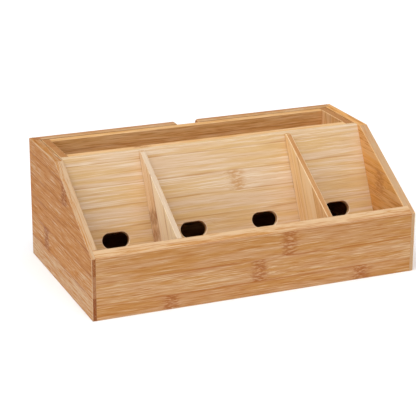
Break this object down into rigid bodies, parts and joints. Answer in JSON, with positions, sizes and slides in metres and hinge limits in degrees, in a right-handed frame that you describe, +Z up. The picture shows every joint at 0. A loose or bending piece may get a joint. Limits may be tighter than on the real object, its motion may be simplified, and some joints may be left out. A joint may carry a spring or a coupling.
{
  "type": "desk organizer",
  "caption": "Open bamboo box with a leaning backrest, divided phone compartments with cable holes, and a lift-out pen tray over a cable bay at the back.",
  "frame": {"origin": "centre of the footprint, on the surface that the organizer stands on", "axes": "+X along the long side, to the right seen from the front; +Y from the front towards the back; +Z up"},
  "size_m": [0.3, 0.17, 0.11],
  "materials": {
    "panel_bamboo": "satin",
    "board_bamboo": "satin",
    "divider_bamboo": "satin",
    "tray_bamboo": "satin",
    "base_bamboo": "satin"
  },
  "bodies": {
    "box": {"left_side": "panel_bamboo", "right_side": "panel_bamboo", "front_panel": "panel_bamboo", "back_panel": "panel_bamboo", "base_panel": "base_bamboo", "backrest_board": "board_bamboo", "divider_left": "divider_bamboo", "divider_right": "divider_bamboo", "tray_ledge_left": "panel_bamboo", "tray_ledge_right": "panel_bamboo"},
    "tray": {"tray_front": "tray_bamboo", "tray_back": "tray_bamboo", "tray_left": "tray_bamboo", "tray_right": "tray_bamboo", "tray_floor": "base_bamboo"}
  },
  "joints": [
    {"name": "tray_lift", "type": "slide", "parent": "box", "child": "tray", "axis": [0, 0, 1], "range_m": [0, 0.045]}
  ]
}
